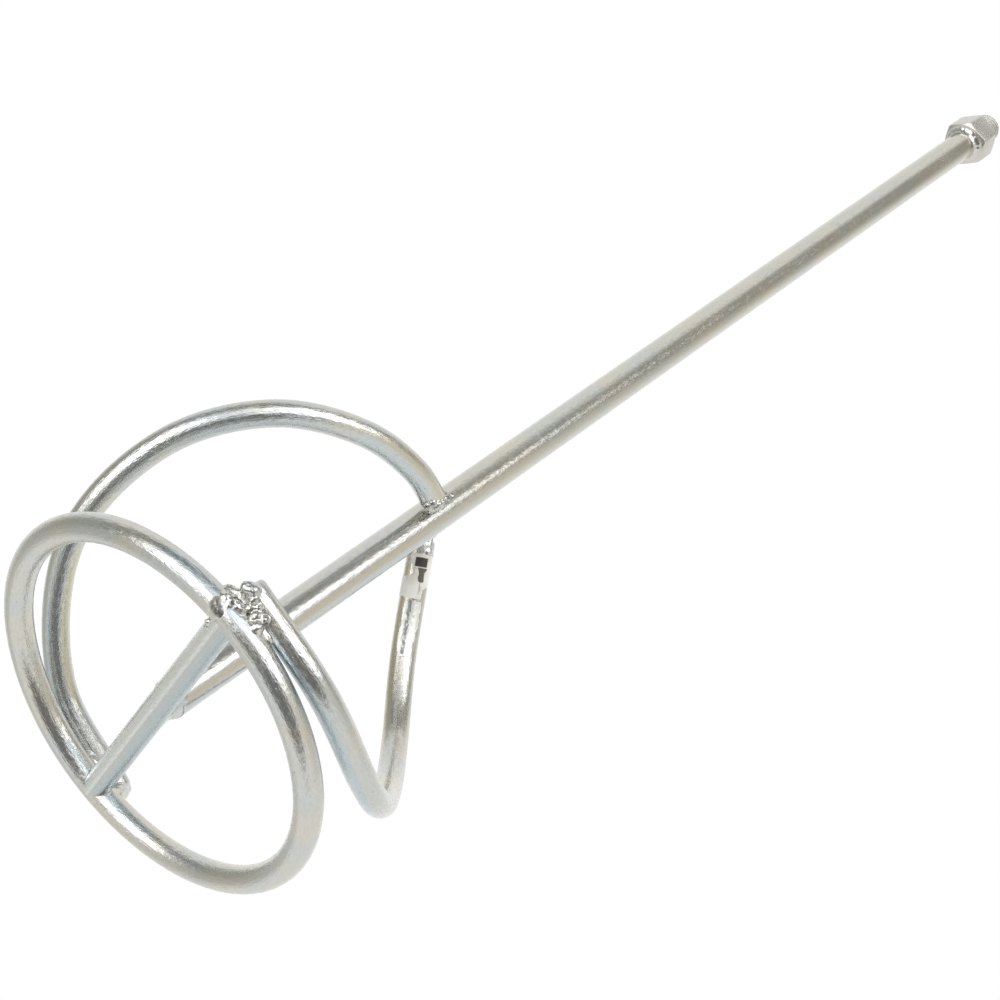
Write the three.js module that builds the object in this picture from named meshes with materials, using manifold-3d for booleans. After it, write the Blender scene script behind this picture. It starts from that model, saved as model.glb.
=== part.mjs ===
// Mortar mixing paddle: a welded steel bar tool, zinc plated, that hangs from a mixing drill.
// Millimetres, +Z up. The paddle stands on its ring: the origin is on the shaft's axis,
// level with the ring's underside, and the crossbar lies along X.

import * as THREE from 'three';
import { mergeVertices } from 'three/addons/utils/BufferGeometryUtils.js';
import Module from 'manifold-3d';

const wasm = await Module();
wasm.setup();

// ---- driving dimensions ----

const GAP = 0.3; // clearance between neighbouring solids
const OVERALL_LENGTH = 603; // ring's underside to the stud's tip

const BAR_RADIUS = 5; // 10 mm round bar: ring, crossbar and arms
const SHAFT_RADIUS = 7; // 14 mm round bar
const RING_RADIUS = 67.5; // to the middle of the bar
const RING_HEIGHT = BAR_RADIUS; // middle of the bar above the underside

const THREAD_MAJOR = 7; // M14 x 2 stud, radius over the crests
const THREAD_MINOR = 5.9;
const THREAD_PITCH = 2;
const STUD_LENGTH = 13; // from the nut's seat face to the tip
const STUD_CHAMFER = 1.4;

const NUT_ACROSS_FLATS = 21;
const NUT_HEIGHT = 14;
const NUT_CHAMFER_RADIUS = 9.9; // round faces that the 30 degree chamfers leave
const NUT_TURN = 4; // degrees, direction of the first flat

const NUT_TOP = OVERALL_LENGTH - STUD_LENGTH;
const NUT_BOTTOM = NUT_TOP - NUT_HEIGHT;
const SHAFT_FOOT = RING_HEIGHT + BAR_RADIUS + GAP; // the shaft stands on the crossbar

// An arm, from its cut end over the ring to its weld on the shaft: turn about the shaft
// in degrees, distance from the shaft's axis, height above the ring's underside, and how
// much nearer the axis the hand-bent arm b passes than arm a.
const ARM_STATIONS = [
  [-4, 73, 14.5, 0],
  [30, 71, 17, 0],
  [66, 72, 29.5, 1.5],
  [86, 74.5, 44.5, 2.5],
  [107, 74.5, 69.5, 3.5],
  [124, 66.5, 96.5, 0],
  [137, 47.5, 122.5, 0],
  [165, 13, 149, 0],
];
const ARM_A_LAST_STATIONS = [ // in place of the last: arm a turns in to the shaft more steeply
  [150, 28, 137.5],
  [166, 10.5, 147],
];
const ARM_B_CUT_SHORT = 2; // arm b's lower end stops this much sooner

const SEAM_ANGLE = 177.5; // degrees, where the ring's two ends meet
const SEAM_WIDTH = 2.4; // weld metal between the ends

const LABEL_THICKNESS = 0.3;

const BAR_SIDES = 14;
const SHAFT_SIDES = 28;

// ---- materials ----

const zinc = { color: 0xc9cac6, roughness: 0.32, metalness: 1 };
const weldMetal = { color: 0xd2d3d0, roughness: 0.25, metalness: 1 };
const paper = { color: 0xe9e4d8, roughness: 0.8, metalness: 0 };

// ---- solids and meshes ----

function toSolid(geometry) {
  const bare = geometry.clone();
  bare.deleteAttribute('normal');
  bare.deleteAttribute('uv');
  const merged = mergeVertices(bare, 1e-4);
  return new wasm.Manifold(new wasm.Mesh({
    numProp: 3,
    vertProperties: new Float32Array(merged.attributes.position.array),
    triVerts: new Uint32Array(merged.index.array),
  }));
}

function toGeometry(solid) {
  const { vertProperties, triVerts } = solid.getMesh();
  const geometry = new THREE.BufferGeometry();
  geometry.setAttribute('position', new THREE.BufferAttribute(vertProperties, 3));
  geometry.setIndex(new THREE.BufferAttribute(triVerts, 1));
  geometry.computeVertexNormals();
  return geometry;
}

function piece(name, geometry, look) {
  const mesh = new THREE.Mesh(geometry, new THREE.MeshStandardMaterial(look));
  mesh.name = name;
  return mesh;
}

// ---- curves ----

function polar(degrees, radius, height) {
  const angle = THREE.MathUtils.degToRad(degrees);
  return new THREE.Vector3(radius * Math.cos(angle), radius * Math.sin(angle), height);
}


// A stretch of the ring's centre line, between two angles in degrees.
class RingArc extends THREE.Curve {
  constructor(from, to) {
    super();
    this.from = from;
    this.to = to;
  }

  getPoint(t) {
    return polar(this.from + (this.to - this.from) * t, RING_RADIUS, RING_HEIGHT);
  }
}

// A stretch of another curve, between two of its fractions of length.
class CurvePart extends THREE.Curve {
  constructor(whole, from, to) {
    super();
    this.whole = whole;
    this.from = from;
    this.to = to;
  }

  getPoint(t) {
    return this.whole.getPointAt(this.from + (this.to - this.from) * t);
  }
}

function armCurveA() {
  const stations = [...ARM_STATIONS.slice(0, -1), ...ARM_A_LAST_STATIONS];
  return new THREE.CatmullRomCurve3(stations.map(([angle, radius, height]) => (
    polar(angle, radius, height)
  )));
}

function armCurveB() {
  const whole = new THREE.CatmullRomCurve3(ARM_STATIONS.map(([angle, radius, height, nearer]) => (
    polar(angle + 180, radius - nearer, height)
  )));
  return new CurvePart(whole, ARM_B_CUT_SHORT / whole.getLength(), 1);
}

// ---- shapes ----

function disc(radius) {
  return new THREE.Shape().absarc(0, 0, radius, 0, 2 * Math.PI, false);
}

function roundBar(curve, radius, steps, sides = BAR_SIDES) {
  return new THREE.ExtrudeGeometry(disc(radius), {
    steps,
    curveSegments: sides / 2,
    extrudePath: curve,
  });
}

// Turned solid about Z from [radius, height] pairs listed from the bottom up.
function turned(profile, sides = SHAFT_SIDES) {
  return new THREE.LatheGeometry(profile.map(([r, z]) => new THREE.Vector2(r, z)), sides)
    .rotateX(Math.PI / 2);
}

function ball(centre, radius, detail = 2) {
  return toSolid(new THREE.IcosahedronGeometry(radius, detail).translate(...centre.toArray()));
}

function union(solids) {
  return solids.reduce((sum, solid) => sum.add(solid));
}

// Nothing hangs below the ring's underside: weld metal there is ground flush.
function groundFlush(solid) {
  const size = 4 * RING_RADIUS;
  return solid.subtract(toSolid(new THREE.BoxGeometry(size, size, size)
    .translate(0, 0, -size / 2)));
}

// ---- bars ----

function threadProfile(from, to) {
  const profile = [];
  const turns = Math.floor((to - from) / THREAD_PITCH);
  for (let i = 0; i < turns; i += 1) {
    const z = from + i * THREAD_PITCH;
    profile.push([THREAD_MAJOR, z]);
    profile.push([THREAD_MINOR, z + 0.45 * THREAD_PITCH]);
    profile.push([THREAD_MINOR, z + 0.55 * THREAD_PITCH]);
  }
  return profile;
}

// The shaft's upper end is cut with the stud's thread; its grooves are drawn as rings.
function shaftGeometry() {
  const threadEnd = OVERALL_LENGTH - STUD_CHAMFER;
  return turned([
    [0, SHAFT_FOOT],
    [SHAFT_RADIUS, SHAFT_FOOT],
    ...threadProfile(NUT_TOP, threadEnd),
    [THREAD_MAJOR, threadEnd],
    [THREAD_MAJOR - STUD_CHAMFER, OVERALL_LENGTH],
    [0, OVERALL_LENGTH],
  ]);
}

function nutGeometry() {
  const corner = NUT_ACROSS_FLATS / 2 / Math.cos(Math.PI / 6);
  const chamfer = (corner - NUT_CHAMFER_RADIUS) * Math.tan(Math.PI / 6);
  const firstCorner = THREE.MathUtils.degToRad(NUT_TURN + 30);
  const hexagon = new THREE.CylinderGeometry(corner, corner, NUT_HEIGHT, 6)
    .rotateX(Math.PI / 2)
    .rotateZ(firstCorner - Math.PI / 2)
    .translate(0, 0, NUT_BOTTOM + NUT_HEIGHT / 2);
  const rounding = turned([
    [0, NUT_BOTTOM],
    [NUT_CHAMFER_RADIUS, NUT_BOTTOM],
    [corner, NUT_BOTTOM + chamfer],
    [corner, NUT_TOP - chamfer],
    [NUT_CHAMFER_RADIUS, NUT_TOP],
    [0, NUT_TOP],
  ], 36);
  const bore = new THREE.CylinderGeometry(1, 1, 2 * NUT_HEIGHT, SHAFT_SIDES)
    .scale(SHAFT_RADIUS + GAP, 1, SHAFT_RADIUS + GAP)
    .rotateX(Math.PI / 2)
    .translate(0, 0, NUT_BOTTOM + NUT_HEIGHT / 2);
  return toGeometry(toSolid(hexagon).intersect(toSolid(rounding)).subtract(toSolid(bore)));
}

function ringGeometry() {
  const halfSeam = THREE.MathUtils.radToDeg(SEAM_WIDTH / 2 / RING_RADIUS);
  return roundBar(new RingArc(SEAM_ANGLE + halfSeam, SEAM_ANGLE + 360 - halfSeam), BAR_RADIUS, 64);
}

const crossbarCurve = new THREE.LineCurve3(
  new THREE.Vector3(-RING_RADIUS, 0, RING_HEIGHT),
  new THREE.Vector3(RING_RADIUS, 0, RING_HEIGHT),
);

// Keep-out solids: each bar grown by the gap, to cut its neighbours with.
const shaftRoom = toSolid(turned([
  [0, SHAFT_FOOT - GAP],
  [SHAFT_RADIUS + GAP, SHAFT_FOOT - GAP],
  [SHAFT_RADIUS + GAP, OVERALL_LENGTH],
  [0, OVERALL_LENGTH],
]));
const ringRoom = toSolid(new THREE.TorusGeometry(RING_RADIUS, BAR_RADIUS + GAP, BAR_SIDES, 64)
  .translate(0, 0, RING_HEIGHT));
const crossbarRoom = toSolid(roundBar(crossbarCurve, BAR_RADIUS + GAP, 1));

// The crossbar is coped at both ends to fit the ring's inner side.
function crossbarGeometry() {
  return toGeometry(toSolid(roundBar(crossbarCurve, BAR_RADIUS, 1)).subtract(ringRoom));
}

// ---- the two arms and what joins them ----

function armRoom(curve) {
  return toSolid(roundBar(curve, BAR_RADIUS + GAP, 48));
}

function armGeometry(curve) {
  return toGeometry(toSolid(roundBar(curve, BAR_RADIUS, 48)).subtract(shaftRoom));
}

// Weld metal that bridges the space between the arm's start and the ring below it:
// a row of beads, each given by its distance from the arm's end and its radius.
const ARM_RING_BEADS = [
  [3, 3.8],
  [7, 4.5],
  [11, 4.2],
  [15, 3.5],
];

function armRingWeld(curve) {
  const beads = ARM_RING_BEADS.map(([distance, radius]) => {
    const onArm = curve.getPointAt(distance / curve.getLength());
    const turn = THREE.MathUtils.radToDeg(Math.atan2(onArm.y, onArm.x));
    const onRing = polar(turn, RING_RADIUS, RING_HEIGHT);
    return ball(onArm.lerp(onRing, 0.5), radius);
  });
  return toGeometry(union(beads)
    .subtract(armRoom(curve))
    .subtract(ringRoom)
    .subtract(crossbarRoom));
}

// Weld metal round the arm's upper end, where it meets the shaft; places are shares of
// the arm's length.
function armShaftWeld(curve, places) {
  const beads = places.map((place) => ball(curve.getPointAt(place), 6.4));
  return toGeometry(union(beads).subtract(armRoom(curve)).subtract(shaftRoom));
}

// ---- the other welds ----

// Flared collar between one end of the crossbar and the ring; side is +1 or -1 along X.
function crossbarRingWeld(side) {
  const inner = RING_RADIUS - BAR_RADIUS - 4.5;
  const collar = turned([
    [0, inner],
    [BAR_RADIUS + 0.7, inner],
    [BAR_RADIUS + 1.2, inner + 2.5],
    [BAR_RADIUS + 2, inner + 5],
    [0, inner + 5],
  ], 24).rotateY(side * Math.PI / 2).translate(0, 0, RING_HEIGHT);
  return toGeometry(groundFlush(toSolid(collar).subtract(crossbarRoom).subtract(ringRoom)));
}

// Fillet between the shaft's foot and the crossbar.
function shaftFootWeld() {
  const fillet = new THREE.IcosahedronGeometry(1, 4)
    .scale(12.5, 6.4, 5)
    .translate(0, 0, SHAFT_FOOT - 0.6);
  return toGeometry(toSolid(fillet).subtract(crossbarRoom).subtract(shaftRoom));
}

// Fillet between the shaft and the nut's lower face.
function nutWeldGeometry() {
  const inside = SHAFT_RADIUS + GAP;
  const top = NUT_BOTTOM - GAP;
  return turned([
    [inside, top],
    [inside, top - 3],
    [inside + 0.4, top - 3],
    [inside + 1, top - 1.3],
    [inside + 2.4, top - 0.5],
    [inside + 2.4, top],
    [inside, top],
  ]);
}

// Weld metal that closes the ring.
function seamWeldGeometry() {
  const half = THREE.MathUtils.radToDeg((SEAM_WIDTH / 2 - GAP) / RING_RADIUS);
  return roundBar(new RingArc(SEAM_ANGLE - half, SEAM_ANGLE + half), BAR_RADIUS, 1);
}

// ---- label ----

// A curled sheet round a stretch of the arm, open along one side.
function labelGeometry(curve, from, to, coverDegrees) {
  const inside = BAR_RADIUS + GAP;
  const outside = inside + LABEL_THICKNESS;
  const cover = THREE.MathUtils.degToRad(coverDegrees);
  const outline = new THREE.Shape();
  outline.absarc(0, 0, outside, -cover / 2, cover / 2, false);
  outline.absarc(0, 0, inside, cover / 2, -cover / 2, true);
  return new THREE.ExtrudeGeometry(outline, {
    steps: 6,
    curveSegments: 10,
    extrudePath: new CurvePart(curve, from, to),
  });
}

// ---- assembly ----

const armA = armCurveA();
const armB = armCurveB();

const paddle = new THREE.Group();
paddle.add(
  piece('shaft', shaftGeometry(), zinc),
  piece('drive_nut', nutGeometry(), zinc),
  piece('bottom_ring', ringGeometry(), zinc),
  piece('crossbar', crossbarGeometry(), zinc),
  piece('helical_arm_a', armGeometry(armA), zinc),
  piece('helical_arm_b', armGeometry(armB), zinc),
  piece('weld_nut_shaft', nutWeldGeometry(), weldMetal),
  piece('weld_shaft_foot', shaftFootWeld(), weldMetal),
  piece('weld_ring_seam', seamWeldGeometry(), weldMetal),
  piece('weld_crossbar_ring_a', crossbarRingWeld(1), weldMetal),
  piece('weld_crossbar_ring_b', crossbarRingWeld(-1), weldMetal),
  piece('weld_arm_ring_a', armRingWeld(armA), weldMetal),
  piece('weld_arm_ring_b', armRingWeld(armB), weldMetal),
  piece('weld_arm_shaft_a', armShaftWeld(armA, [0.975, 0.99]), weldMetal),
  piece('weld_arm_shaft_b', armShaftWeld(armB, [0.99, 1]), weldMetal),
  piece('label_wrap', labelGeometry(armB, 0.91, 0.974, 300), paper),
  piece('label_strip', labelGeometry(armB, 0.845, 0.905, 110), paper),
);

export default paddle;
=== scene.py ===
import math

import bpy
import numpy as np
from mathutils import Matrix, Vector, noise


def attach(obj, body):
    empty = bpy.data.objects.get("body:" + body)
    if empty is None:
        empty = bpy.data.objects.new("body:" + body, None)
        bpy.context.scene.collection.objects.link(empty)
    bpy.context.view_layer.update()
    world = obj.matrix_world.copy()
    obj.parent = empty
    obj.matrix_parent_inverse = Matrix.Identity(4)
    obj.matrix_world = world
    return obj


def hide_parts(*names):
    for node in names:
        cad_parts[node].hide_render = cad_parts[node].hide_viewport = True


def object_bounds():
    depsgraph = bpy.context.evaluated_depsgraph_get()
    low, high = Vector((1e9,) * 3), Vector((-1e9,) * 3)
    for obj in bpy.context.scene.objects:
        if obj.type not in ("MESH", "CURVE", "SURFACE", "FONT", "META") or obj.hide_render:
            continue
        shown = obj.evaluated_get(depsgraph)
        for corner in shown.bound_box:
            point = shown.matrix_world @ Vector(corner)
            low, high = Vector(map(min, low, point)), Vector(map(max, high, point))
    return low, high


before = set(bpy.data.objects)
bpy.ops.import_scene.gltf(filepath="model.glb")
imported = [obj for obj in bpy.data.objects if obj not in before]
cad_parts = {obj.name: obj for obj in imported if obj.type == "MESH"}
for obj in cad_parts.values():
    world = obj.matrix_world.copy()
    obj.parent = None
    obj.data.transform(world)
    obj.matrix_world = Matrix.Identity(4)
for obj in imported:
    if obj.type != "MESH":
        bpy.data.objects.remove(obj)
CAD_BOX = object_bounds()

# Mortar mixing paddle: a ring, a crossbar, two helical arms and a shaft with a drive nut,
# welded from round steel bar and zinc plated.
#
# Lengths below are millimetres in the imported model's frame: +Z up, the shaft's axis is Z,
# the crossbar lies along X and the ring's underside is at height 0. They become metres in
# add_piece(), the only place where meshes are made.

MM = 0.001

# ---- driving dimensions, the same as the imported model's ----

BAR_RADIUS = 5.0  # ring, crossbar and arms
SHAFT_RADIUS = 7.0
RING_RADIUS = 67.5
RING_HEIGHT = BAR_RADIUS
OVERALL_LENGTH = CAD_BOX[1].z / MM
STUD_LENGTH = 13.0  # the threaded end above the nut
STUD_CHAMFER = 1.4
THREAD_MINOR = 5.9  # radius at the bottom of the thread's groove
THREAD_PITCH = 2.0
NUT_ACROSS_FLATS = 21.0
NUT_HEIGHT = 14.0
NUT_CHAMFER_RADIUS = 9.9  # where the chamfer leaves the nut's flat end
NUT_TURN = 4.0  # degrees from the crossbar's direction to the middle of a flat
NUT_TOP = OVERALL_LENGTH - STUD_LENGTH
NUT_BOTTOM = NUT_TOP - NUT_HEIGHT
SHAFT_FOOT = RING_HEIGHT + BAR_RADIUS + 0.3
SEAM_ANGLE = 177.5  # degrees round the ring, middle of the gap between its two ends
SEAM_GAP = 1.1  # degrees from there to either end

# An arm's stations: turn about the shaft in degrees, distance from the shaft's axis,
# height, and how much nearer the axis arm b passes.
ARM_STATIONS = [
    (-4, 73, 14.5, 0),
    (30, 71, 17, 0),
    (66, 72, 29.5, 1.5),
    (86, 74.5, 44.5, 2.5),
    (107, 74.5, 69.5, 3.5),
    (124, 66.5, 96.5, 0),
    (137, 47.5, 122.5, 0),
    (165, 13, 149, 0),
]
# In place of the last: arm a turns in to the shaft more steeply.
ARM_A_LAST_STATIONS = [(150, 28, 137.5, 0), (166, 10.5, 147, 0)]
ARM_B_CUT_SHORT = 2.0
CUT_EDGE = 0.6  # softening of a bar's cut edge
ARM_EDGE = 1.5  # the arms' cut edges, melted by their welds
FOOT_EDGE = 0.25  # the shaft's cut edge

# ---- camera: it looks up at the paddle from under the ring ----

CAMERA_AT = Vector((-623.3, -99.5, -369.0)) * MM
CAMERA_AIM = Vector((1.4, -10.0, 182.1)) * MM
CAMERA_ROLL = 54.43  # degrees, anticlockwise in the picture
CAMERA_LENS = 77.72
SENSOR_WIDTH = 36.0


def camera_matrix():
    """The camera's axes in the world as columns: right, up and back."""
    back = (CAMERA_AT - CAMERA_AIM).normalized()
    right = Vector((0, 0, 1)).cross(back).normalized()
    level = Matrix((right, back.cross(right), back)).transposed()
    return level @ Matrix.Rotation(math.radians(CAMERA_ROLL), 3, "Z")


CAMERA_TURN = camera_matrix()


def facing_camera(turn, tilt):
    """Direction that leans from the camera's by tilt degrees toward turn, which runs from
    the picture's right anticlockwise."""
    turn, tilt = math.radians(turn), math.radians(tilt)
    lean = (math.cos(turn) * math.sin(tilt), math.sin(turn) * math.sin(tilt), math.cos(tilt))
    return CAMERA_TURN @ Vector(lean)


# ---- curves ----


def polar(degrees, radius, height):
    """Point at an angle about the shaft's axis."""
    angle = math.radians(degrees)
    return np.array([radius * math.cos(angle), radius * math.sin(angle), height])


def catmull_rom(stations, steps):
    """Points on the centripetal Catmull-Rom curve through the stations."""
    ends = [2 * stations[0] - stations[1], 2 * stations[-1] - stations[-2]]
    p = [ends[0], *stations, ends[1]]
    t = np.linspace(0, 1, steps, endpoint=False)[:, None]
    runs = []
    for p0, p1, p2, p3 in zip(p, p[1:], p[2:], p[3:]):
        d0, d1, d2 = (math.sqrt(math.dist(a, b)) for a, b in ((p0, p1), (p1, p2), (p2, p3)))
        leave = ((p1 - p0) / d0 - (p2 - p0) / (d0 + d1) + (p2 - p1) / d1) * d1
        arrive = ((p2 - p1) / d1 - (p3 - p1) / (d1 + d2) + (p3 - p2) / d2) * d1
        square = 3 * (p2 - p1) - 2 * leave - arrive
        cube = 2 * (p1 - p2) + leave + arrive
        runs.append(p1 + leave * t + square * t**2 + cube * t**3)
    return np.vstack([*runs, stations[-1]])


def lengths_along(points):
    """Distance from a line's start to each of its points."""
    return np.r_[0, np.cumsum(np.linalg.norm(np.diff(points, axis=0), axis=1))]


def at_distance(points, distance):
    """Points at the given distances from a line's start."""
    along = lengths_along(points)
    return np.stack([np.interp(distance, along, axis) for axis in points.T], axis=-1)


def arm_line(stations, turn, nearer):
    """An arm's middle line; nearer is the share of the stations' last column to apply."""
    return catmull_rom([polar(a + turn, r - nearer * n, z) for a, r, z, n in stations], 60)


def ring_line(start, end, steps):
    return np.array([polar(a, RING_RADIUS, RING_HEIGHT) for a in np.linspace(start, end, steps)])


ARM_A = arm_line(ARM_STATIONS[:-1] + ARM_A_LAST_STATIONS, 0, 0)
ARM_B = arm_line(ARM_STATIONS, 180, 1)
ARM_B = at_distance(ARM_B, np.linspace(ARM_B_CUT_SHORT, lengths_along(ARM_B)[-1], len(ARM_B)))

# ---- meshes ----


def add_piece(name, points, faces, material, stands_for, straight=None):
    """A smooth-shaded mesh piece from millimetres. straight holds each point's place on the
    bar before it was bent: along it, and the two directions across it."""
    mesh = bpy.data.meshes.new(name)
    mesh.from_pydata(np.asarray(points) * MM, [], [tuple(f) for f in faces])
    mesh.update()
    mesh.polygons.foreach_set("use_smooth", [True] * len(mesh.polygons))
    if straight is not None:
        unbent = mesh.attributes.new("straight_mm", "FLOAT_VECTOR", "POINT")
        unbent.data.foreach_set("vector", np.asarray(straight, np.float32).ravel())
    mesh.materials.append(material)
    piece = bpy.data.objects.new(name, mesh)
    bpy.context.scene.collection.objects.link(piece)
    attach(piece, "root")
    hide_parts(*stands_for)
    return piece


def directions(points):
    """Unit vector along the line at each point."""
    ahead = np.gradient(points, axis=0)
    return ahead / np.linalg.norm(ahead, axis=1)[:, None]


def carried_frames(points):
    """Two unit vectors square to the line at each point, carried along without twist."""
    ahead = directions(points)
    side = np.cross(ahead[0], (0.3, 0.2, 1.0))  # any direction that no bar starts along
    sides = []
    for a in ahead:
        side = side - a * (side @ a)
        side = side / np.linalg.norm(side)
        sides.append(side)
    sides = np.array(sides)
    return sides, np.cross(ahead, sides)


def grid_faces(rows, columns):
    """Quads between rows of points that close on themselves."""
    faces = []
    for row in range(rows - 1):
        a, b = row * columns, (row + 1) * columns
        for j in range(columns):
            k = (j + 1) % columns
            faces.append((a + j, a + k, b + k, b + j))
    return faces


def rounded_cut(radius, edge, steps=5):
    """Distances from a cut face and radii there, from the face round its softened edge."""
    turn = np.linspace(0, math.pi / 2, steps)
    return edge * (1 - np.cos(turn)), radius - edge * (1 - np.sin(turn))


def bar_piece(name, line, distance, radii, material, stands_for, sides=64):
    """A bar along a line, closed by flat faces. radii has a row for every distance and
    either one value or one for each side."""
    centres = at_distance(line, distance)
    across, over = carried_frames(centres)
    turn = np.linspace(0, 2 * math.pi, sides, endpoint=False)
    radii = np.asarray(radii).reshape(len(distance), -1) * np.ones((1, sides))
    x, y = radii * np.cos(turn), radii * np.sin(turn)
    rings = centres[:, None] + across[:, None] * x[..., None] + over[:, None] * y[..., None]
    straight = np.stack([distance[:, None] * np.ones((1, sides)), x, y], axis=-1)
    points = np.vstack([rings.reshape(-1, 3), centres[0], centres[-1]])
    straight = np.vstack([straight.reshape(-1, 3), (distance[0], 0, 0), (distance[-1], 0, 0)])
    faces = grid_faces(len(distance), sides)
    first, last, end = len(points) - 2, len(points) - 1, (len(distance) - 1) * sides
    for j in range(sides):
        k = (j + 1) % sides
        faces += [(first, k, j), (last, end + j, end + k)]
    return add_piece(name, points, faces, material, stands_for, straight)


def cut_bar_piece(name, line, material, stands_for, edge=CUT_EDGE, step=1.2):
    """A length of the 10 mm round bar."""
    length = lengths_along(line)[-1]
    near, end_radii = rounded_cut(BAR_RADIUS, edge)
    body = np.linspace(edge, length - edge, int(length / step))[1:-1]
    distance = np.r_[near, body, length - near[::-1]]
    radii = np.r_[end_radii, np.full(len(body), BAR_RADIUS), end_radii[::-1]]
    return bar_piece(name, line, distance, radii, material, stands_for)


# ---- node trees ----


class Tree:
    """Shorthand for a node tree: every call adds one node and returns one of its outputs."""

    def __init__(self, owner):
        owner.use_nodes = True
        self.tree = owner.node_tree
        self.tree.nodes.clear()

    def add(self, kind, inputs=(), out=0, **settings):
        node = self.tree.nodes.new("ShaderNode" + kind)
        for key, value in settings.items():
            setattr(node, key, value)
        pairs = inputs.items() if isinstance(inputs, dict) else enumerate(inputs)
        for key, value in pairs:
            if isinstance(value, bpy.types.NodeSocket):
                self.tree.links.new(value, node.inputs[key])
            elif value is not None:
                node.inputs[key].default_value = value
        return node.outputs[out] if node.outputs else None

    def math(self, operation, *values):
        return self.add("Math", values, operation=operation)

    def remap(self, value, low, high, to_low=0.0, to_high=1.0, curve="LINEAR"):
        return self.add(
            "MapRange", (value, low, high, to_low, to_high), interpolation_type=curve
        )

    def mix(self, share, a, b):
        """Colour a with a share of colour b over it: 6, 7 and 2 are Mix's colour sockets."""
        return self.add("Mix", {0: share, 6: a, 7: b}, out=2, data_type="RGBA")

    def dot(self, vector, other):
        return self.add("VectorMath", (vector, other), out=1, operation="DOT_PRODUCT")

    def stretch(self, vector, scale):
        """The vector with its parts scaled: 0 and 3 are Mapping's Vector and Scale."""
        return self.add("Mapping", {0: vector, 3: scale})

    def noise(self, vector, scale, detail=2.0, roughness=0.5, distortion=0.0):
        return self.add(
            "TexNoise",
            {
                "Vector": vector,
                "Scale": scale,
                "Detail": detail,
                "Roughness": roughness,
                "Distortion": distortion,
            },
        )


def grey(value):
    """A colour without hue."""
    return (value, value, value, 1.0)


# ---- materials ----


# Zinc plate: what varies over it, with the size of its features in millimetres.
GRAIN, FROST, PEBBLE, CLOUDS, FILM_PATCH, PIT_SPACING = 0.8, 0.7, 3.2, 30, 24, 5
TINT_FADE = 25  # millimetres of height over which the painted reflection tints die out, each way
DULLING = 0.4  # roughness added where the plate is dull
FROST_SHADE = grey(0.5)
PIT_SHADE = (0.18, 0.16, 0.14, 1)
# colour of the painted shade in a weld's hollows and round its shade spots
HOLLOW_SHADE_COLOUR = (0.075, 0.065, 0.052, 1)


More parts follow.
